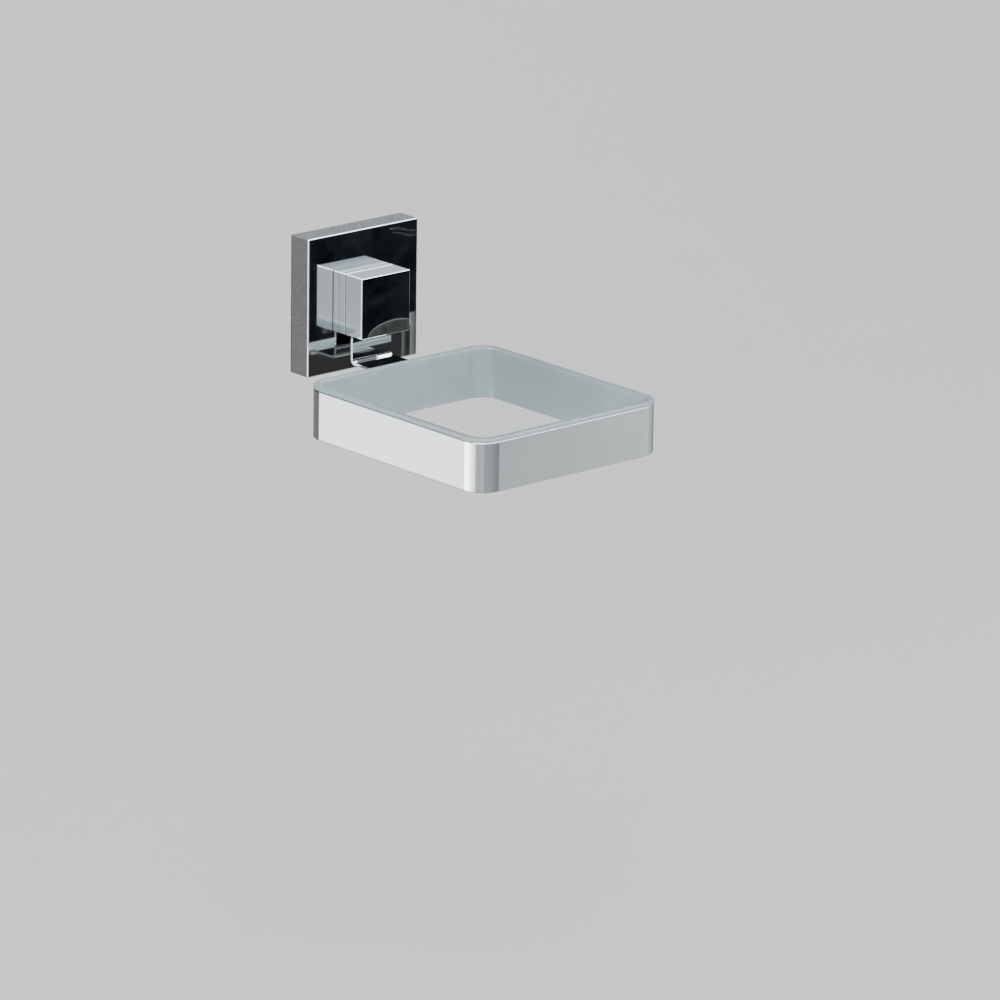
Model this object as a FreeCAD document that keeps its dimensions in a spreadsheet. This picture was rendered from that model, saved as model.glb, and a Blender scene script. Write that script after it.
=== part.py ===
import FreeCAD, Part
import math
import os
import Sketcher

# Wall-mounted hair dryer holder: square rosette, boss, strap and flat band with a drop-in liner.
# Frame: origin on the wall plane at the centre of the rosette, +X right, -Y out from the wall, +Z up.

SHEET = "Dims"
DIMENSIONS = [
    ("gasket_thick", 1.0, "foam seal between the wall and the rosette rim"),
    ("gasket_width", 3.0, "width of the seal's border"),
    ("gasket_inset", 0.4, "seal set back from the rosette's outside"),
    ("rosette_side", 68.0, "outer side of the square rosette"),
    ("rosette_depth", 12.5, "rim to front face"),
    ("rosette_wall", 2.0, "side walls of the shell"),
    ("rosette_face", 2.5, "front wall of the shell"),
    ("rosette_edge", 0.6, "edge radius of the rosette"),
    ("boss_side", 30.0, "side of the square boss"),
    ("boss_edge", 0.5, "edge radius of the boss"),
    ("base_thick", 4.7, "base block behind the strap"),
    ("cap_depth", 12.1, "cap block in front of the strap"),
    ("seam_edge", 0.25, "edge break on each side of a seam"),
    ("seam_gap", 0.35, "shadow gap between base block and cap"),
    ("seam_depth", 1.0, "how deep the shadow gap runs in"),
    ("strap_width", 24.0, "flat strip width"),
    ("strap_thick", 1.2, "flat strip thickness"),
    ("tongue_rise", 0.8, "tongue on the base block that presses the strap into the recess"),
    ("strap_top", 11.0, "top of the strap above the boss centre"),
    ("strap_bend", 1.5, "inner radius of the bend"),
    ("strap_play", 0.1, "side clearance of the strap in the cap's recess"),
    ("band_reach", 24.4, "rosette face to the back of the band"),
    ("band_drop", 28.5, "band's top edge below the rosette centre"),
    ("band_width", 114.0, "outer width"),
    ("band_length", 126.5, "outer length, front to back"),
    ("band_height", 24.0, "height of the flat band"),
    ("band_wall", 1.5, "sheet thickness of the band"),
    ("band_radius", 11.5, "outer corner radius"),
    ("band_edge", 0.5, "edge radius of the sheet"),
    ("liner_gap", 0.3, "clearance between liner and band"),
    ("liner_wall", 1.8, "wall of the liner"),
    ("liner_drop", 22.8, "liner's wall below the band's top edge"),
    ("rim_height", 2.0, "liner's rim above the band"),
    ("rim_round", 0.9, "radius on the rim's top"),
    ("rim_break", 0.3, "radius under the rim's outside"),
    ("braze_leg", 2.0, "leg of the fillet that joins strap and band"),
    ("plate_width", 50.0, "wall plate width"),
    ("plate_thick", 2.0, "wall plate thickness"),
    ("plate_top", 30.0, "top of the upper lip"),
    ("plate_low", 28.0, "underside of the lower lip below centre"),
    ("hook_depth", 7.5, "upper lip, wall to tip"),
    ("hook_thick", 1.5, "upturned end of the upper lip"),
    ("hook_rise", 1.7, "height of the upturned end"),
    ("lower_lip", 10.0, "lower lip, wall to tip"),
    ("screw_hole_r", 2.6, "wall screw hole radius"),
    ("screw_spacing", 36.0, "wall screw holes, centre to centre"),
    ("rib_width", 44.0, "rib inside the rosette that hooks behind the upper lip"),
    ("rib_play", 0.3, "clearance around the rib"),
    ("grub_r", 2.0, "M4 grub screw"),
    ("grub_play", 0.05, "thread clearance"),
    ("grub_out", 7.0, "grub screw axis, out from the wall"),
    ("grub_length", 5.8, "threaded length"),
    ("dog_r", 1.0, "dog point radius"),
    ("dog_length", 0.8, "dog point length"),
    ("dog_play", 0.3, "clearance around the dog point"),
    ("hex_r", 1.15, "hexagon socket of the grub screw, across corners / 2"),
    ("pad_width", 10.0, "thickened patch around the grub screw's thread"),
    ("pad_rise", 2.5, "thickened patch above the rosette's lower wall"),
    ("bolt_r", 3.0, "M6 centre bolt"),
    ("bolt_head_r", 5.0, "bolt head"),
    ("bolt_head", 4.0, "bolt head height"),
    ("bolt_reach", 6.8, "bolt thread inside the cap block"),
    ("bolt_play", 0.3, "clearance around the shank"),
    ("bolt_hex_r", 2.3, "hexagon socket, across corners / 2"),
    ("washer_thick", 1.1, "plain washer"),
    ("washer_r", 6.0, "plain washer radius"),
    ("spring_thick", 1.4, "split spring washer"),
    ("spring_r", 4.9, "split spring washer radius"),
    ("spring_split", 0.9, "gap in the spring washer"),
    ("pin_r", 1.5, "locating pin"),
    ("pin_play", 0.02, "clearance around the pin"),
    ("pin_spacing", 17.0, "locating pins, centre to centre"),
    ("pin_sink", 4.0, "pin length inside the cap block"),
]

doc = FreeCAD.newDocument("hair_dryer_holder")
sheet = doc.addObject("Spreadsheet::Sheet", SHEET)
for row, (alias, value, note) in enumerate(DIMENSIONS, start=1):
    sheet.set(f"A{row}", alias)
    sheet.set(f"B{row}", str(value))
    sheet.set(f"C{row}", note)
    sheet.setAlias(f"B{row}", alias)
doc.recompute()


# ------------------------------------------------------------------ helpers
def driven(expression):
    """Spell a formula over the dimension aliases as a FreeCAD expression."""
    names = sorted((alias for alias, _, _ in DIMENSIONS), key=len, reverse=True)
    words = expression.replace("(", " ( ").replace(")", " ) ").split()
    return " ".join(f"{SHEET}.{word}" if word in names else word for word in words)


def new_body(name, out="0", up="0"):
    """Start a sub-part whose local zero sits `out` from the wall and `up` from the centre."""
    body = doc.addObject("PartDesign::Body", name)
    body.Label = name
    body.setExpression("Placement.Base.y", driven(f"-1 * ( {out} )"))
    body.setExpression("Placement.Base.z", driven(up))
    return body


def origin_plane(body, role):
    return next(item for item in body.Origin.OriginFeatures if item.Role == role)


def new_sketch(body, name, role, offset="0"):
    sketch = body.newObject("Sketcher::SketchObject", name)
    sketch.AttachmentSupport = (origin_plane(body, role), [""])
    sketch.MapMode = "FlatFace"
    sketch.setExpression("AttachmentOffset.Base.z", driven(offset))
    return sketch


def place_point(sketch, geometry, point, x, y):
    """Tie one point to the sketch origin by two signed, driven distances."""
    for kind, axis, expression in (("DistanceX", -2, x), ("DistanceY", -1, y)):
        if expression == "0":
            sketch.addConstraint(Sketcher.Constraint("PointOnObject", geometry, point, axis))
            continue
        index = sketch.addConstraint(Sketcher.Constraint(kind, -1, 1, geometry, point, 1.0))
        sketch.setExpression(f"Constraints[{index}]", driven(expression))


def polygon(sketch, points):
    """Closed outline; every corner is a pair of driven coordinates."""
    count = len(points)
    first = sketch.GeometryCount
    for step in range(count):
        start = FreeCAD.Vector(step, step % 2, 0)
        end = FreeCAD.Vector(step + 1, (step + 1) % 2, 0)
        sketch.addGeometry(Part.LineSegment(start, end), False)
    for step in range(count):
        following = first + (step + 1) % count
        sketch.addConstraint(Sketcher.Constraint("Coincident", first + step, 2, following, 1))
    for step, (x, y) in enumerate(points):
        place_point(sketch, first + step, 1, x, y)


def rectangle(sketch, width, height, x="0", y="0"):
    left = f"( {x} ) - ( {width} ) / 2"
    right = f"( {x} ) + ( {width} ) / 2"
    low = f"( {y} ) - ( {height} ) / 2"
    high = f"( {y} ) + ( {height} ) / 2"
    polygon(sketch, [(left, low), (right, low), (right, high), (left, high)])


def drive_side(sketch, kind, line, expression):
    index = sketch.addConstraint(Sketcher.Constraint(kind, -1, 1, line, 1, 1.0))
    sketch.setExpression(f"Constraints[{index}]", driven(expression))


def rounded_rectangle(sketch, width, height, radius, x="0", y="0"):
    """Four sides and four tangent corner arcs, counter-clockwise from the lower side."""
    first = sketch.GeometryCount
    reach, bend = 50.0, 10.0
    flat = reach - bend
    axis = FreeCAD.Vector(0, 0, 1)
    for quarter in range(4):
        turn = FreeCAD.Rotation(axis, 90.0 * quarter)
        start = turn.multVec(FreeCAD.Vector(-flat, -reach, 0))
        end = turn.multVec(FreeCAD.Vector(flat, -reach, 0))
        middle = turn.multVec(FreeCAD.Vector(flat, -flat, 0))
        sketch.addGeometry(Part.LineSegment(start, end), False)
        corner = Part.Circle(middle, axis, bend)
        low_angle = math.pi / 2 * (quarter + 3)
        sketch.addGeometry(Part.ArcOfCircle(corner, low_angle, low_angle + math.pi / 2), False)
    for step in range(8):
        sketch.addConstraint(Sketcher.Constraint("Tangent", first + step, 2, first + (step + 1) % 8, 1))
    for line, direction in ((0, "Horizontal"), (2, "Vertical"), (4, "Horizontal"), (6, "Vertical")):
        sketch.addConstraint(Sketcher.Constraint(direction, first + line))
    drive_side(sketch, "DistanceY", first, f"( {y} ) - ( {height} ) / 2")
    drive_side(sketch, "DistanceX", first + 2, f"( {x} ) + ( {width} ) / 2")
    drive_side(sketch, "DistanceY", first + 4, f"( {y} ) + ( {height} ) / 2")
    drive_side(sketch, "DistanceX", first + 6, f"( {x} ) - ( {width} ) / 2")
    for arc in (1, 3, 5, 7):
        size_index = sketch.addConstraint(Sketcher.Constraint("Radius", first + arc, bend))
        sketch.setExpression(f"Constraints[{size_index}]", driven(radius))


def inset_loop(sketch, inset, middle):
    """Outline of the band moved inwards by `inset`, corners kept concentric."""
    width = f"band_width - 2 * ( {inset} )"
    length = f"band_length - 2 * ( {inset} )"
    rounded_rectangle(sketch, width, length, f"band_radius - ( {inset} )", "0", middle)


def circle(sketch, radius, x="0", y="0"):
    index = sketch.addGeometry(Part.Circle(FreeCAD.Vector(0, 0, 0), FreeCAD.Vector(0, 0, 1), 1), False)
    place_point(sketch, index, 3, x, y)
    size = sketch.addConstraint(Sketcher.Constraint("Radius", index, 1.0))
    sketch.setExpression(f"Constraints[{size}]", driven(radius))


def finish_feature(body, feature, sketch=None):
    if sketch is not None:
        sketch.Visibility = False
    body.Tip = feature
    doc.recompute()
    return feature


def pad(body, sketch, length, name, backwards=False, middle=False):
    feature = body.newObject("PartDesign::Pad", name)
    feature.Profile = sketch
    feature.setExpression("Length", driven(length))
    feature.Reversed = backwards
    feature.Midplane = middle
    return finish_feature(body, feature, sketch)


def pocket(body, sketch, depth, name, backwards=False):
    doc.recompute()
    before = body.Tip.Shape.Volume
    feature = body.newObject("PartDesign::Pocket", name)
    feature.Profile = sketch
    feature.setExpression("Length", driven(depth))
    feature.Reversed = backwards
    finish_feature(body, feature, sketch)
    if not feature.Shape.Volume < before - 1e-6:
        raise RuntimeError(f"{body.Label}.{name} removes nothing")
    return feature


def hex_socket(body, name, role, offset, radius, depth, inwards):
    """Hexagon socket sunk into the end face that lies `offset` from an origin plane."""
    feature = body.newObject("PartDesign::SubtractivePrism", name)
    feature.Polygon = 6
    feature.setExpression("Circumradius", driven(radius))
    feature.Height = depth
    feature.AttachmentSupport = (origin_plane(body, role), [""])
    feature.MapMode = "FlatFace"
    feature.setExpression("AttachmentOffset.Base.z", driven(offset))
    if not inwards:
        feature.AttachmentOffset.Rotation = FreeCAD.Rotation(FreeCAD.Vector(1, 0, 0), 180)
    return finish_feature(body, feature)


def edges_where(feature, test):
    return [f"Edge{number}" for number, edge in enumerate(feature.Shape.Edges, start=1) if test(edge)]


def fillet(body, radius, name, test):
    base = body.Tip
    feature = body.newObject("PartDesign::Fillet", name)
    feature.Base = (base, edges_where(base, test))
    feature.setExpression("Radius", driven(radius))
    return finish_feature(body, feature)


def runs_along(edge, axis):
    """True for a straight edge parallel to the given axis (0, 1 or 2)."""
    if edge.Curve.TypeId != "Part::GeomLine":
        return False
    return abs(abs(edge.Curve.Direction[axis]) - 1.0) < 1e-6


def lies_at(edge, axis, value):
    """True for an edge that lies wholly in the plane axis = value."""
    box = edge.BoundBox
    low = (box.XMin, box.YMin, box.ZMin)[axis]
    high = (box.XMax, box.YMax, box.ZMax)[axis]
    return abs(low - value) < 1e-4 and abs(high - value) < 1e-4


def size(alias):
    return float(sheet.get(alias))


# ------------------------------------------------- positions shared by parts
FACE_OUT = "gasket_thick + rosette_depth"
CAP_OUT = f"{FACE_OUT} + base_thick"
STRAP_OUT = f"{CAP_OUT} + tongue_rise"
RECESS = "tongue_rise + strap_thick"
BAND_OUT = f"{FACE_OUT} + band_reach"
INNER_OUT = f"{FACE_OUT} - rosette_face"
HALF_PIN = "pin_spacing / 2"
BOLT_HOLE = "bolt_r + bolt_play"
PIN_HOLE = "pin_r + pin_play"


def drill_boss_holes(body, offset, depth):
    """Clearance hole for the centre bolt and two holes for the locating pins."""
    holes = new_sketch(body, f"{body.Label}_holes", "XZ_Plane", offset)
    circle(holes, BOLT_HOLE)
    circle(holes, PIN_HOLE, f"-1 * {HALF_PIN}")
    circle(holes, PIN_HOLE, HALF_PIN)
    return pocket(body, holes, depth, "boss_holes")


# --------------------------------------------------------------- wall plate
plate = new_body("wall_plate")
outline = new_sketch(plate, "plate_profile", "YZ_Plane")
lip_under = "plate_top - plate_thick"
hook_top = "plate_top + hook_rise"
hook_back = "-1 * hook_depth + hook_thick"
polygon(outline, [
    ("0", "-1 * plate_low"),
    ("-1 * lower_lip", "-1 * plate_low"),
    ("-1 * lower_lip", "-1 * plate_low + plate_thick"),
    ("-1 * plate_thick", "-1 * plate_low + plate_thick"),
    ("-1 * plate_thick", lip_under),
    ("-1 * hook_depth", lip_under),
    ("-1 * hook_depth", hook_top),
    (hook_back, hook_top),
    (hook_back, "plate_top"),
    ("0", "plate_top"),
])
pad(plate, outline, "plate_width", "plate_bent", middle=True)
screws = new_sketch(plate, "screw_holes", "XZ_Plane", "plate_thick")
circle(screws, "screw_hole_r", "-1 * screw_spacing / 2")
circle(screws, "screw_hole_r", "screw_spacing / 2")
pocket(plate, screws, "plate_thick", "screw_holes_cut")
dog_hole = new_sketch(plate, "dog_hole", "XY_Plane", "-1 * plate_low + plate_thick")
circle(dog_hole, "dog_r + dog_play", "0", "-1 * grub_out")
pocket(plate, dog_hole, "plate_thick", "dog_hole_cut")

# ----------------------------------------------------------- rosette gasket
gasket = new_body("rosette_gasket")
border = new_sketch(gasket, "gasket_outline", "XZ_Plane")
gasket_side = "rosette_side - 2 * gasket_inset"
gasket_hole = f"{gasket_side} - 2 * gasket_width"
rectangle(border, gasket_side, gasket_side)
rectangle(border, gasket_hole, gasket_hole)
pad(gasket, border, "gasket_thick", "gasket_sheet")

# ------------------------------------------------------------------ rosette
rosette = new_body("rosette", out="gasket_thick")
square = new_sketch(rosette, "rosette_square", "XZ_Plane")
rectangle(square, "rosette_side", "rosette_side")
pad(rosette, square, "rosette_depth", "rosette_block")
fillet(rosette, "rosette_edge", "rosette_edges", lambda edge: not lies_at(edge, 1, 0.0))
hollow = new_sketch(rosette, "rosette_hollow", "XZ_Plane")
inner_side = "rosette_side - 2 * rosette_wall"
rectangle(hollow, inner_side, inner_side)
pocket(rosette, hollow, "rosette_depth - rosette_face", "rosette_shell", backwards=True)
rib_height = "hook_rise + rosette_wall / 2"
rib_middle = f"rosette_side / 2 - rosette_wall / 2 - ( {rib_height} ) / 2"
rib = new_sketch(rosette, "hook_rib", "XZ_Plane",
                 "-1 * gasket_thick + hook_depth - 2 * hook_thick - rib_play")
rectangle(rib, "rib_width", rib_height, "0", rib_middle)
pad(rosette, rib, "hook_thick", "hook_rib_pad")
patch = new_sketch(rosette, "grub_patch", "XZ_Plane", "rosette_wall / 2")
patch_height = "pad_rise + rosette_wall / 2"
patch_middle = f"( {patch_height} ) / 2 + rosette_wall / 2 - rosette_side / 2"
rectangle(patch, "pad_width", patch_height, "0", patch_middle)
pad(rosette, patch, "rosette_depth - rosette_wall / 2 - rosette_face / 2", "grub_patch_pad")
thread = new_sketch(rosette, "grub_thread", "XY_Plane", "-1 * rosette_side / 2 + rosette_wall + pad_rise")
circle(thread, "grub_r + grub_play", "0", "gasket_thick - grub_out")
pocket(rosette, thread, "rosette_wall + pad_rise", "grub_thread_cut")
drill_boss_holes(rosette, "rosette_depth", "rosette_face")

# --------------------------------------------------------------- base block
recess_height = "boss_side / 2 + strap_top + strap_play"
recess_middle = f"( {recess_height} - boss_side ) / 2"
base = new_body("base_block", out=FACE_OUT)
square = new_sketch(base, "base_square", "XZ_Plane")
rectangle(square, "boss_side", "boss_side")
pad(base, square, "base_thick", "base_slab")
fillet(base, "boss_edge", "base_corners", lambda edge: runs_along(edge, 1))
gap = new_sketch(base, "shadow_gap", "XZ_Plane", "base_thick")
rectangle(gap, "boss_side + seam_depth", "boss_side + seam_depth")
rectangle(gap, "boss_side - 2 * seam_depth", "boss_side - 2 * seam_depth")
pocket(base, gap, "seam_gap", "shadow_gap_cut")
half_boss = size("boss_side") / 2
slab_ends = (0.0, size("seam_gap") - size("base_thick"))
fillet(base, "seam_edge", "base_seams",
       lambda edge: any(lies_at(edge, 1, end) for end in slab_ends)
       and max(abs(edge.BoundBox.XMax), abs(edge.BoundBox.ZMax), abs(edge.BoundBox.XMin),
               abs(edge.BoundBox.ZMin)) > half_boss - 0.3)
tongue = new_sketch(base, "tongue", "XZ_Plane", "base_thick")
tongue_height = f"{recess_height} - seam_depth - strap_play"
rectangle(tongue, "strap_width", tongue_height, "0", f"{recess_middle} + ( seam_depth - strap_play ) / 2")
pad(base, tongue, "tongue_rise", "tongue_pad")
drill_boss_holes(base, "base_thick + tongue_rise", "base_thick + tongue_rise")

# ---------------------------------------------------------------- cap block
cap = new_body("cap_block", out=CAP_OUT)
square = new_sketch(cap, "cap_square", "XZ_Plane")
rectangle(square, "boss_side", "boss_side")
pad(cap, square, "cap_depth", "cap_slab")
fillet(cap, "boss_edge", "cap_edges", lambda edge: not lies_at(edge, 1, 0.0))
fillet(cap, "seam_edge", "cap_seam", lambda edge: lies_at(edge, 1, 0.0))
recess = new_sketch(cap, "strap_recess", "XZ_Plane")
rectangle(recess, "strap_width + 2 * strap_play", recess_height, "0", recess_middle)
pocket(cap, recess, RECESS, "strap_recess_cut", backwards=True)
tapped = new_sketch(cap, "bolt_thread", "XZ_Plane", RECESS)
circle(tapped, "bolt_r + grub_play")
pocket(cap, tapped, "bolt_reach + 1", "bolt_thread_cut", backwards=True)
sockets = new_sketch(cap, "pin_sockets", "XZ_Plane", RECESS)
circle(sockets, PIN_HOLE, f"-1 * {HALF_PIN}")
circle(sockets, PIN_HOLE, HALF_PIN)
pocket(cap, sockets, "pin_sink + 0.3", "pin_sockets_cut", backwards=True)

# ------------------------------------------------------------ bracket strap
strap = new_body("bracket_strap", out=STRAP_OUT)
profile = new_sketch(strap, "strap_profile", "YZ_Plane")
strap_end = "-1 * band_reach + base_thick + tongue_rise"
flange_low = "-1 * band_drop - strap_thick"
polygon(profile, [
    ("0", "strap_top"),
    ("0", flange_low),
    (strap_end, flange_low),
    (strap_end, "-1 * band_drop"),
    ("-1 * strap_thick", "-1 * band_drop"),
    ("-1 * strap_thick", "strap_top"),
])
pad(strap, profile, "strap_width", "strap_bent", middle=True)
fold = -size("band_drop")
fillet(strap, "strap_bend", "bend_inside",
       lambda edge: lies_at(edge, 1, -size("strap_thick")) and lies_at(edge, 2, fold))
fillet(strap, "strap_bend + strap_thick", "bend_outside",
       lambda edge: lies_at(edge, 1, 0.0) and lies_at(edge, 2, fold - size("strap_thick")))
drill_boss_holes(strap, "strap_thick", "strap_thick")

# ------------------------------------------------- centre bolt and washers
bolt_head_out = f"{INNER_OUT} - washer_thick - spring_thick - bolt_head"
bolt = new_body("centre_bolt", out=bolt_head_out)
head = new_sketch(bolt, "bolt_head_round", "XZ_Plane")
circle(head, "bolt_head_r")
pad(bolt, head, "bolt_head", "bolt_head_pad")
shank = new_sketch(bolt, "bolt_shank", "XZ_Plane", "bolt_head")
circle(shank, "bolt_r")
under_head = f"spring_thick + washer_thick + rosette_face + base_thick + {RECESS} + bolt_reach"
pad(bolt, shank, under_head, "bolt_shank_pad")
fillet(bolt, "seam_edge", "bolt_head_round_over", lambda edge: lies_at(edge, 1, 0.0))
hex_socket(bolt, "bolt_socket", "XZ_Plane", "0", "bolt_hex_r", 2.2, True)

spring = new_body("lock_washer", out=f"{INNER_OUT} - washer_thick - spring_thick")
ring = new_sketch(spring, "spring_ring", "XZ_Plane")
circle(ring, "spring_r")
circle(ring, "bolt_r + grub_play")
pad(spring, ring, "spring_thick", "spring_disc")
split = new_sketch(spring, "spring_gap", "XZ_Plane")
rectangle(split, "spring_split", "spring_r", "0", "spring_r / 2 + bolt_r / 2")
pocket(spring, split, "spring_thick", "spring_gap_cut", backwards=True)

washer = new_body("plain_washer", out=f"{INNER_OUT} - washer_thick")
ring = new_sketch(washer, "washer_ring", "XZ_Plane")
circle(ring, "washer_r")
circle(ring, "bolt_r + bolt_play")
pad(washer, ring, "washer_thick", "washer_disc")

# ------------------------------------------------------------ locating pins
pins = []
for side, sign in (("left", "-1"), ("right", "1")):
    pin = doc.addObject("Part::Cylinder", f"pin_{side}")
    pin.Placement.Rotation = FreeCAD.Rotation(FreeCAD.Vector(1, 0, 0), 90)
    pin.setExpression("Radius", driven("pin_r"))
    pin.setExpression("Height", driven(f"rosette_face + base_thick + {RECESS} + pin_sink"))
    pin.setExpression("Placement.Base.x", driven(f"{sign} * {HALF_PIN}"))
    pin.setExpression("Placement.Base.y", driven(f"-1 * ( {INNER_OUT} )"))
    pins.append(pin)
pin_pair = doc.addObject("Part::Compound", "locating_pins")
pin_pair.Label = "locating_pins"
pin_pair.Links = pins

# --------------------------------------------------------------------- band
band = new_body("band", out=BAND_OUT, up="-1 * band_drop - band_height")
half_length = "-1 * band_length / 2"
loop = new_sketch(band, "band_loop", "XY_Plane")
inset_loop(loop, "0", half_length)
inset_loop(loop, "band_wall", half_length)
pad(band, loop, "band_height", "band_sheet")
fillet(band, "band_edge", "band_lips",
       lambda edge: lies_at(edge, 2, 0.0) or lies_at(edge, 2, size("band_height")))

# ------------------------------------------------------------- braze fillet
braze = new_body("braze_fillet", out=BAND_OUT, up=flange_low)
corner = new_sketch(braze, "braze_profile", "YZ_Plane")
polygon(corner, [
    ("0", "0"),
    ("0", "-1 * braze_leg"),
    ("braze_leg / 3", "-1 * braze_leg / 3"),
    ("braze_leg", "0"),
])
pad(braze, corner, "strap_width", "braze_run", middle=True)

# -------------------------------------------------------------------- liner
liner = new_body("liner", out=BAND_OUT, up="-1 * band_drop")
wall_inset = "band_wall + liner_gap"
hollow_inset = f"{wall_inset} + liner_wall"
wall = new_sketch(liner, "wall_loop", "XY_Plane")
inset_loop(wall, wall_inset, half_length)
inset_loop(wall, hollow_inset, half_length)
pad(liner, wall, "liner_drop", "wall_sheet", backwards=True)
rim = new_sketch(liner, "rim_loop", "XY_Plane")
inset_loop(rim, "0", half_length)
inset_loop(rim, hollow_inset, half_length)
pad(liner, rim, "rim_height", "rim_sheet")
outer_half = size("band_width") / 2


def on_rim_outline(edge):
    """True for an edge under the rim that touches its outer outline."""
    box = edge.BoundBox
    if not lies_at(edge, 2, 0.0) or box.DiagonalLength < 1.0:
        return False
    beside = min(abs(abs(box.XMax) - outer_half), abs(abs(box.XMin) - outer_half)) < 1e-3
    return beside or box.YMax > -1e-3 or box.YMin < 1e-3 - size("band_length")


fillet(liner, "rim_break", "rim_underside", on_rim_outline)
fillet(liner, "rim_round", "rim_rounding", lambda edge: lies_at(edge, 2, size("rim_height")))

# --------------------------------------------------------------- grub screw
grub_head_up = "-1 * plate_low - grub_length"
grub = new_body("grub_screw", out="grub_out", up=grub_head_up)
rod = new_sketch(grub, "grub_round", "XY_Plane")
circle(rod, "grub_r")
pad(grub, rod, "grub_length", "grub_rod")
dog = new_sketch(grub, "dog_round", "XY_Plane", "grub_length")
circle(dog, "dog_r")
pad(grub, dog, "dog_length", "dog_point")
fillet(grub, "seam_edge", "grub_end", lambda edge: lies_at(edge, 2, 0.0))
hex_socket(grub, "grub_socket", "XY_Plane", "0", "hex_r", 2.0, True)

# ------------------------------------------------------------ check and save
doc.recompute()
for item in doc.Objects:
    if "Invalid" in item.State or "Error" in item.State:
        raise RuntimeError(f"{item.Name} did not recompute: {item.State}")

NODES = [plate, gasket, rosette, grub, bolt, spring, washer, pin_pair, base, cap, strap, band, braze, liner]
os.makedirs("parts", exist_ok=True)
for node in NODES:
    shape = node.Shape
    if shape.isNull() or not shape.isValid():
        raise RuntimeError(f"{node.Label} has no valid shape")
    shape.exportStep(f"parts/{node.Label}.step")
    print(f"{node.Label:16s} solids {len(shape.Solids)}  volume {shape.Volume:10.1f} mm3")
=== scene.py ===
import math

import bpy
from mathutils import Matrix, Vector


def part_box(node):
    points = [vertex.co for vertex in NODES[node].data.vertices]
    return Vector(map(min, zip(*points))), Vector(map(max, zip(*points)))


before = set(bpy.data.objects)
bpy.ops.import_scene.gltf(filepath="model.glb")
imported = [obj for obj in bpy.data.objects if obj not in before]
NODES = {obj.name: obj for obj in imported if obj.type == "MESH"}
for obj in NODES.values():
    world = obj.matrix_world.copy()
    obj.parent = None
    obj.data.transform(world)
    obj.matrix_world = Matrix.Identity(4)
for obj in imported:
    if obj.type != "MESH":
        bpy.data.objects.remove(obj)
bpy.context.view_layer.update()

MM = 0.001
WHITE = (1.0, 1.0, 1.0)


# ------------------------------------------------------------- shader nodes
def add_node(tree, kind, inputs=None, **settings):
    """Add a shader node. An input given as a socket is linked, any other is set."""
    node = tree.nodes.new("ShaderNode" + kind)
    for name, value in settings.items():
        setattr(node, name, value)
    for name, value in (inputs or {}).items():
        if isinstance(value, bpy.types.NodeSocket):
            tree.links.new(value, node.inputs[name])
        else:
            node.inputs[name].default_value = value
    return node


def object_place(tree):
    return add_node(tree, "TexCoord").outputs["Object"]


def axis_of(tree, vector, axis):
    return add_node(tree, "SeparateXYZ", {"Vector": vector}).outputs[axis]


def spread(tree, value, low, high, to_low=0.0, to_high=1.0, **settings):
    """Map low..high of a value to to_low..to_high, held at both ends."""
    inputs = {"Value": value, "From Min": low, "From Max": high, "To Min": to_low, "To Max": to_high}
    return add_node(tree, "MapRange", inputs, **settings).outputs["Result"]


def combine(tree, kind, first, second=0.0):
    return add_node(tree, "Math", {0: first, 1: second}, operation=kind).outputs["Value"]


def ramp(tree, value, stops):
    """Colour ramp over (position, colour) stops."""
    node = add_node(tree, "ValToRGB", {"Fac": value})
    elements = node.color_ramp.elements
    while len(elements) < len(stops):
        elements.new(0.5)
    for element, (position, colour) in zip(elements, stops):
        element.position = position
        element.color = (*colour, 1.0)
    return node.outputs["Color"]


def mix_colours(tree, share, under, over, **settings):
    inputs = {"Factor": share, "A": under, "B": over}
    return add_node(tree, "Mix", inputs, data_type="RGBA", **settings).outputs["Result"]


def mix_shaders(tree, share, under, over):
    return add_node(tree, "MixShader", {"Fac": share, 1: under, 2: over}).outputs["Shader"]


class Surface:
    """A Principled material that reads the object's own coordinates."""

    def __init__(self, name, **constants):
        self.material = bpy.data.materials.new(name)
        self.material.use_nodes = True
        self.tree = self.material.node_tree
        self.bsdf = next(n for n in self.tree.nodes if n.type == "BSDF_PRINCIPLED")
        self.place = object_place(self.tree)
        for socket, value in constants.items():
            self.bsdf.inputs[socket.replace("_", " ")].default_value = value

    def wear(self, colour, roughness, normal):
        """Link the procedural colour, roughness and normal, and give the finished material."""
        for socket, source in (("Base Color", colour), ("Roughness", roughness), ("Normal", normal)):
            self.tree.links.new(source, self.bsdf.inputs[socket])
        return self.material

    def noise(self, scale, detail=3.0, rough=0.5, vector=None):
        inputs = {"Scale": scale, "Detail": detail, "Roughness": rough, "Vector": vector or self.place}
        return add_node(self.tree, "TexNoise", inputs).outputs["Fac"]

    def stretched(self, scale, turn=(0, 0, 0)):
        """Coordinates that draw a noise out into streaks."""
        inputs = {"Vector": self.place, "Scale": scale, "Rotation": turn}
        return add_node(self.tree, "Mapping", inputs).outputs["Vector"]

    def bump(self, height, strength, distance, under=None):
        inputs = {"Height": height, "Strength": strength, "Distance": distance}
        if under is not None:
            inputs["Normal"] = under
        return add_node(self.tree, "Bump", inputs).outputs["Normal"]

    def between(self, axis, low, high, both_sides=False):
        """1 where the place along the axis (or its distance from zero) lies inside low..high, else 0."""
        place = axis_of(self.tree, self.place, axis)
        if both_sides:
            place = combine(self.tree, "ABSOLUTE", place)
        above = combine(self.tree, "GREATER_THAN", place, low)
        below = combine(self.tree, "LESS_THAN", place, high)
        return combine(self.tree, "MULTIPLY", above, below)


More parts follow.
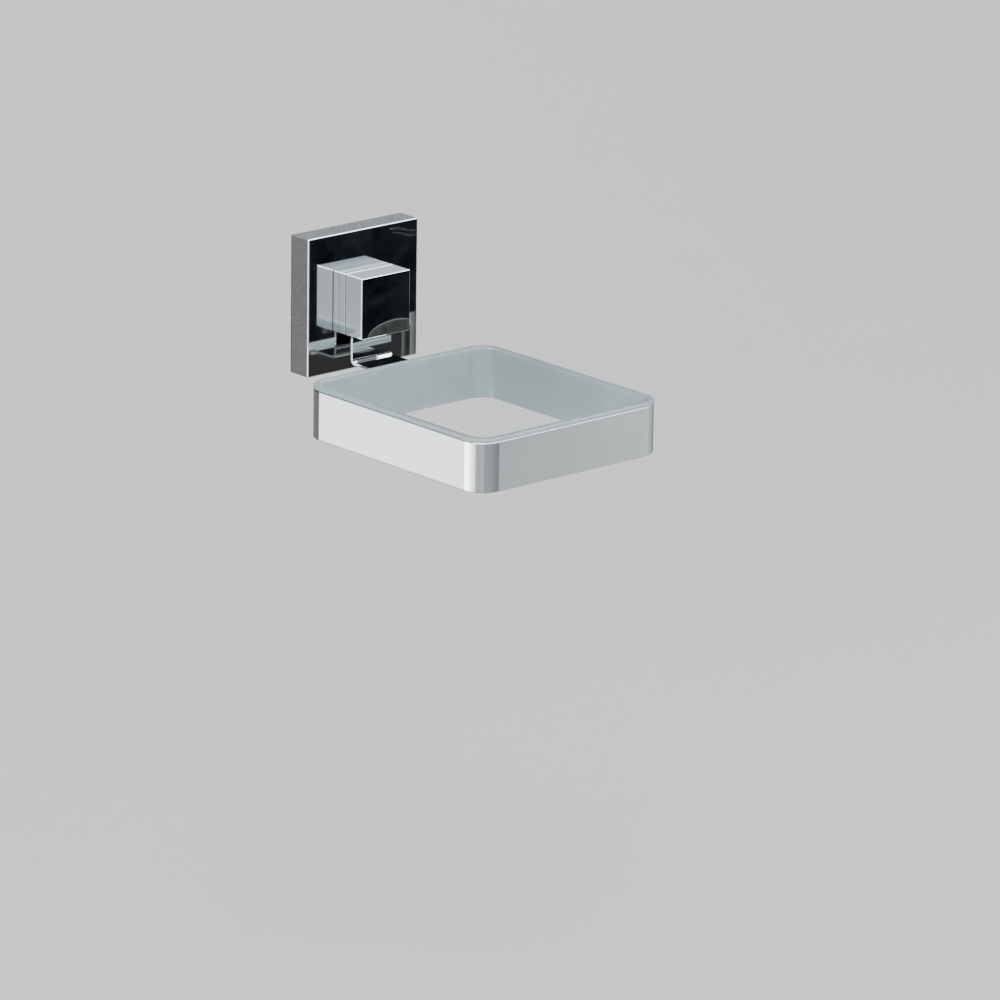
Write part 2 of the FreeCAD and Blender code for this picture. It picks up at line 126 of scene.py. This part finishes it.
# ---------------------------------------------------------------- materials
def chrome(name, smoothest=0.03, dullest=0.075, painted_shade=(), sides=None):
    """Polished plating: near-mirror, faint haze, hairline wipe marks, a slight ripple, and painted shade
    along seams and edges.

    Each band of painted shade is (axis, from, to, grey); sides limits them to that range of distance from
    the middle plane.
    """
    made = Surface(name, Metallic=1.0)
    tree = made.tree
    haze = made.noise(scale=55.0, detail=4.0)
    wiped = made.stretched((1.0, 0.12, 1.0), turn=(0.5, 0.3, 0.9))
    wipes = made.noise(scale=900.0, detail=2.0, rough=0.6, vector=wiped)
    uneven = combine(tree, "MULTIPLY", haze, spread(tree, wipes, 0.35, 0.75, 0.8, 1.25))
    roughness = spread(tree, uneven, 0.3, 0.7, smoothest, dullest)
    plating = made.noise(scale=30.0, detail=2.0)
    colour = ramp(tree, plating, [(0.3, (0.80, 0.815, 0.83)), (0.7, (0.86, 0.87, 0.88))])
    # Painted shade: each band given darkens the plating colour to its grey, in place of shade in seams and
    # edges.
    for axis, low, high, grey in painted_shade:
        shade_mask = made.between(axis, low, high)
        if sides:
            shade_mask = combine(tree, "MULTIPLY", shade_mask, made.between("X", *sides, both_sides=True))
        colour = mix_colours(tree, shade_mask, colour, (grey, grey, grey, 1.0))
    ripple = made.bump(made.noise(scale=28.0, detail=1.0), strength=0.6, distance=0.03 * MM)
    return made.wear(colour, roughness, made.bump(wipes, strength=0.15, distance=0.002 * MM, under=ripple))


def frosted(name):
    """Translucent moulded plastic: cloudy body, fine spark-eroded grain under a satin skin."""
    made = Surface(name, Transmission_Weight=0.55, IOR=1.49, Specular_IOR_Level=0.35,
                   Coat_Weight=0.3, Coat_Roughness=0.06, Coat_IOR=1.5)
    cloud = made.noise(scale=110.0, detail=5.0, rough=0.65)
    colour = ramp(made.tree, cloud, [
        (0.3, (0.55, 0.675, 0.71)),
        (0.55, (0.60, 0.715, 0.745)),
        (0.75, (0.66, 0.755, 0.78)),
    ])
    grain = made.noise(scale=3500.0, detail=3.0, rough=0.65)
    roughness = spread(made.tree, grain, 0.3, 0.7, 0.30, 0.46)
    flow = made.bump(made.noise(scale=60.0, detail=2.0), strength=0.3, distance=0.2 * MM)
    return made.wear(colour, roughness, made.bump(grain, strength=0.25, distance=0.02 * MM, under=flow))


def zinc_steel(name):
    """Zinc-plated pressed steel: rolled grain and slightly mottled passivation."""
    made = Surface(name, Metallic=1.0)
    rolled = made.noise(scale=700.0, detail=3.0, rough=0.6, vector=made.stretched((0.06, 1.0, 1.0)))
    mottle = made.noise(scale=120.0, detail=4.0, rough=0.7)
    colour = ramp(made.tree, mottle, [
        (0.3, (0.50, 0.51, 0.53)),
        (0.6, (0.62, 0.63, 0.63)),
        (0.8, (0.66, 0.65, 0.60)),
    ])
    roughness = spread(made.tree, rolled, 0.3, 0.7, 0.26, 0.42)
    return made.wear(colour, roughness, made.bump(rolled, strength=0.35, distance=0.01 * MM))


def foam(name):
    """Closed-cell foam, open cells along the cut edge."""
    made = Surface(name)
    pores = add_node(made.tree, "TexVoronoi", {"Vector": made.place, "Scale": 2200.0}).outputs["Distance"]
    colour = ramp(made.tree, pores, [(0.1, (0.012, 0.012, 0.014)), (0.6, (0.045, 0.045, 0.05))])
    roughness = spread(made.tree, made.noise(scale=300.0), 0.3, 0.7, 0.75, 0.95)
    return made.wear(colour, roughness, made.bump(pores, strength=0.7, distance=0.12 * MM))


# Painted shade: the boss's broken edges are painted darker where they meet the rosette and the shadow gap,
# and the band's top edge is painted darker along both sides, as shade under the liner's rim.
EDGE_BREAK = 0.25 * MM
RIM_SHADE = 0.4 * MM
SIDE_DEPTH = 1.2 * MM
SKIN = 0.02 * MM
rosette_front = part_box("rosette")[0][1]
cap_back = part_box("cap_block")[1][1]
band_side, _, band_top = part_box("band")[1]
BOSS_PAINTED_SHADE = (
    ("Y", rosette_front - EDGE_BREAK, rosette_front + SKIN, 0.45),
    ("Y", cap_back - EDGE_BREAK, cap_back + SKIN, 0.08),
)
BAND_PAINTED_SHADE = (("Z", band_top - RIM_SHADE, band_top + SKIN, 0.10),)
BAND_SHADE_SIDES = (band_side - SIDE_DEPTH, band_side + SKIN)
STRIP_FINISH = {"smoothest": 0.025, "dullest": 0.055}

MATERIALS = (
    (chrome("chrome_square"), ("rosette",)),
    # Base and cap blocks: plating with painted shade along the seams.
    (chrome("chrome_seam_shade", painted_shade=BOSS_PAINTED_SHADE), ("base_block", "cap_block")),
    (chrome("chrome_strip", **STRIP_FINISH), ("bracket_strap", "braze_fillet")),
    (chrome("chrome_band", painted_shade=BAND_PAINTED_SHADE, sides=BAND_SHADE_SIDES, **STRIP_FINISH), ("band",)),
    (frosted("liner_plastic"), ("liner",)),
    (zinc_steel("zinc_steel"), ("wall_plate", "grub_screw", "centre_bolt", "lock_washer", "plain_washer",
                                "locating_pins")),
    (foam("seal_foam"), ("rosette_gasket",)),
)
for material, names in MATERIALS:
    for name in names:
        slots = NODES[name].data.materials
        slots.clear()
        slots.append(material)


# -------------------------------------------------------------------- stage
def stage_object(name, points, faces, material):
    mesh = bpy.data.meshes.new(name)
    mesh.from_pydata([Vector(point) for point in points], [], faces)
    mesh.materials.append(material)
    made = bpy.data.objects.new(name, mesh)
    bpy.context.scene.collection.objects.link(made)
    return made


def pale_floor(name):
    """Matt paint that is seen from its front only, so that the floor hides nothing from below."""
    made = Surface(name, Base_Color=(0.78, 0.78, 0.775, 1.0), Roughness=0.9)
    tree = made.tree
    output = next(n for n in tree.nodes if n.type == "OUTPUT_MATERIAL")
    behind = add_node(tree, "NewGeometry").outputs["Backfacing"]
    clear = add_node(tree, "BsdfTransparent").outputs["BSDF"]
    tree.links.new(mix_shaders(tree, behind, made.bsdf.outputs["BSDF"], clear), output.inputs["Surface"])
    return made.material


def studio_sweep():
    """Floor that curves up into a back wall."""
    floor, back, top, bend = -0.42, 1.6, 5.0, 0.9
    front, half_width, steps = -6.0, 7.0, 16
    profile = [(front, floor), (back - bend, floor)]
    for step in range(1, steps + 1):
        angle = math.pi / 2 * step / steps
        profile.append((back - bend + bend * math.sin(angle), floor + bend * (1 - math.cos(angle))))
    profile.append((back, top))
    count = len(profile)
    points = [(x, y, z) for x in (-half_width, half_width) for y, z in profile]
    faces = [(row, count + row, count + row + 1, row + 1) for row in range(count - 1)]
    sweep = stage_object("studio_sweep", points, faces, pale_floor("pale_floor"))
    for polygon in sweep.data.polygons:
        polygon.use_smooth = True
    sweep.visible_glossy = False


def card(name, plane, at, outline, glow, tint=WHITE, grain=None, fades=()):
    """A glowing or dark studio card that only reflections see, in millimetres.

    It lies where the plane's axis, X or Y, has the value `at`; its outline gives the other two coordinates.
    grain is (noise scale, least glow, most glow) and takes the place of the even glow.
    Each fade is (axis, where the card is clear, where it is full).
    """
    material = bpy.data.materials.new(name)
    material.use_nodes = True
    tree = material.node_tree
    tree.nodes.clear()
    strength = glow
    if grain:
        scale, least, most = grain
        inputs = {"Vector": object_place(tree), "Scale": scale, "Detail": 5.0, "Distortion": 1.5}
        speckle = add_node(tree, "TexNoise", inputs).outputs["Fac"]
        strength = spread(tree, speckle, 0.35, 0.75, least, most)
    surface = add_node(tree, "Emission", {"Color": (*tint, 1.0), "Strength": strength}).outputs["Emission"]
    for axis, clear, full in fades:
        share = spread(tree, axis_of(tree, object_place(tree), axis), clear * MM, full * MM)
        glass = add_node(tree, "BsdfTransparent").outputs["BSDF"]
        surface = mix_shaders(tree, share, glass, surface)
    add_node(tree, "OutputMaterial", {"Surface": surface})
    corners = [(at, a, b) if plane == "X" else (a, at, b) for a, b in outline]
    corners = [[value * MM for value in corner] for corner in corners]
    made = stage_object(name, corners, [tuple(range(len(corners)))], material)
    made.visible_camera = False
    made.visible_diffuse = False
    made.visible_transmission = False
    made.visible_shadow = False


def rectangle(left, right, low, high):
    return [(left, low), (right, low), (right, high), (left, high)]


def reflection_cards():
    """Dark cards where a dryer would hang, and grey ones for the wall that the chrome's sides look at."""
    dryer_out, hump_out, rim_out = -60.0, -59.0, -58.5
    wall_behind, wall_near = 50.0, 12.0
    left, right, opening_right = -14, 105, 52
    low, band_top, high = -52, -29, 31
    dryer = [(left, low), (opening_right, low), (opening_right, band_top), (right, band_top), (right, high),
             (left, high)]
    card("flag_inside", "Y", dryer_out, dryer, 0.013, (0.80, 1.0, 1.15), (38.0, 0.004, 0.024),
         [("X", left, -6.5), ("X", right, 79), ("Z", high, 20)])

    card("wall_low", "Y", wall_behind, rectangle(-108, 600, -300, 35), 0.24, WHITE, (900.0, 0.17, 0.33))
    card("wall_shade", "Y", wall_near, rectangle(-30, 100, -200, -36), 0.045, fades=[("X", -30, 25)])
    card("wall_high", "Y", wall_behind, rectangle(-108, 600, 35, 600), 0.42, (0.95, 1.0, 1.06),
         (900.0, 0.28, 0.60))
    card("corner_shade", "X", 73.0, rectangle(-72, -14, -72, -14), 0.05, WHITE, (60.0, 0.03, 0.08),
         [("Y", -72, -58), ("Y", -14, -28), ("Z", -72, -60), ("Z", -14, -26)])

    middle, half_width, rise, foot, steps = 29.5, 16.5, 7.0, -25.4, 24
    turns = [math.pi * step / steps for step in range(steps + 1)]
    hump = [(middle - half_width * math.cos(turn), foot + rise * math.sin(turn)) for turn in turns]
    hump_foot = -30.0
    base = [(middle + half_width, hump_foot), (middle - half_width, hump_foot)]
    card("grey_hump", "Y", hump_out, hump + base, 0.09, (0.94, 1.0, 1.0), (70.0, 0.055, 0.13))
    rim = [(x, z + 0.35) for x, z in hump] + [(x, z - 0.25) for x, z in reversed(hump)]
    card("hump_rim", "Y", rim_out, rim, 0.24, fades=[("X", middle + half_width, 34)])

    wisps = (
        [(55, 16.0), (60, 16.2), (64, 14.8), (68, 13.2), (72, 12.8), (72, 12.3), (68, 12.5), (64, 13.7),
         (60, 14.8), (55, 15.3)],
        [(57, 13.8), (62, 12.9), (67, 11.0), (73, 10.2), (73, 9.8), (67, 10.4), (62, 12.3), (57, 13.5)],
    )
    for count, wisp in enumerate(wisps):
        card(f"wisp_{count}", "Y", hump_out, wisp, 0.10, WHITE, (120.0, 0.04, 0.16))


def lamp(name, place, side, power, colour, glossy=True):
    """Square soft lamp aimed at the middle of the holder."""
    aim = Vector((0.0, -0.08, -0.02))
    data = bpy.data.lights.new(name, "AREA")
    data.shape = "RECTANGLE"
    data.size = side
    data.size_y = side
    data.energy = power
    data.color = colour
    made = bpy.data.objects.new(name, data)
    made.location = place
    made.rotation_mode = "QUATERNION"
    made.rotation_quaternion = (aim - Vector(place)).to_track_quat("-Z", "Y")
    made.visible_glossy = glossy
    bpy.context.scene.collection.objects.link(made)


studio_sweep()
reflection_cards()
lamp("key", (-1.4, -1.4, 2.2), side=1.3, power=52.0, colour=(1.0, 0.995, 0.98))
lamp("front", (-0.3, -2.4, 1.5), side=1.6, power=24.0, colour=(0.97, 0.99, 1.0), glossy=False)
lamp("fill", (1.9, -1.2, 1.0), side=1.6, power=18.0, colour=(0.95, 0.98, 1.0), glossy=False)

# The studio tent: even light for the surfaces, and for reflections a tent whose
# brightness changes with heading (degrees anticlockwise from +X) and with height.
TENT = (
    (-180.0, 2.40), (-172.0, 2.10), (-165.0, 1.50), (-161.0, 0.50), (-156.0, 0.66), (-145.0, 0.60),
    (-134.0, 0.70), (-128.5, 0.72), (-124.0, 0.48), (-92.0, 0.42), (-62.0, 0.31), (-53.0, 0.28),
    (-51.5, 0.58), (-48.4, 0.61), (-47.8, 0.68), (-47.1, 0.98), (-40.0, 0.92), (-23.0, 0.72),
    (-10.0, 0.60), (5.0, 0.48), (20.0, 0.32), (90.0, 0.22), (129.1, 0.18), (129.35, 2.50),
    (130.4, 2.60), (131.5, 2.40), (138.0, 2.50), (141.0, 6.00), (158.0, 5.60), (172.0, 3.00),
)
TENT_TINT = (0.955, 1.0, 1.02)
SKY_TINT = (1.45, 1.65, 1.82, 1.0)
SKY_FULL = 0.2
EVEN_LIGHT = {"Color": (0.88, 0.90, 0.92, 1.0), "Strength": 0.75}
# Where the vertical part of a direction goes from the first number to the second,
# the tent turns to this glow, by this share.
RINGS = (
    (0.52, 0.66, 8.0, 1.0),
    (0.80, 0.92, 0.7, 1.0),
    (-0.42, -0.60, 0.42, 0.9),
    (-0.80, -0.92, 0.38, 1.0),
)


def studio_tent():
    world = bpy.data.worlds.new("studio")
    bpy.context.scene.world = world
    world.use_nodes = True
    tree = world.node_tree
    tree.nodes.clear()
    direction = add_node(tree, "TexCoord").outputs["Generated"]
    heading = add_node(tree, "TexGradient", {"Vector": direction}, gradient_type="RADIAL").outputs["Fac"]
    stops = [((angle + 180.0) / 360.0, [glow * part for part in TENT_TINT]) for angle, glow in TENT]
    height = axis_of(tree, direction, "Z")
    raised = spread(tree, height, 0.0, SKY_FULL)
    tent = mix_colours(tree, raised, ramp(tree, heading, stops), SKY_TINT, blend_type="MULTIPLY")
    for start, end, glow, share in RINGS:
        cover = spread(tree, height, start, end, 0.0, share, interpolation_type="SMOOTHSTEP")
        tent = mix_colours(tree, cover, tent, (glow, glow, glow, 1.0))
    reflected = add_node(tree, "Background", {"Color": tent}).outputs["Background"]
    even = add_node(tree, "Background", EVEN_LIGHT).outputs["Background"]
    is_reflection = add_node(tree, "LightPath").outputs["Is Glossy Ray"]
    add_node(tree, "OutputWorld", {"Surface": mix_shaders(tree, is_reflection, even, reflected)})


studio_tent()

# ------------------------------------------------------------------- camera
CAMERA_PLACE = (-1.9405, -2.29995, 0.81242)
YAW, PITCH, ROLL = -0.72601, 0.29538, -0.01557
SENSOR_WIDTH = 36.0
LENS = 234.2
data = bpy.data.cameras.new("camera")
data.sensor_width = SENSOR_WIDTH
data.lens = LENS
data.clip_start = 0.1
data.clip_end = 50.0
camera = bpy.data.objects.new("camera", data)
turn = Matrix.Rotation(YAW, 4, "Z") @ Matrix.Rotation(-PITCH, 4, "X") @ Matrix.Rotation(ROLL, 4, "Y")
camera.matrix_world = Matrix.Translation(CAMERA_PLACE) @ turn @ Matrix.Rotation(math.pi / 2, 4, "X")
bpy.context.scene.collection.objects.link(camera)
bpy.context.scene.camera = camera
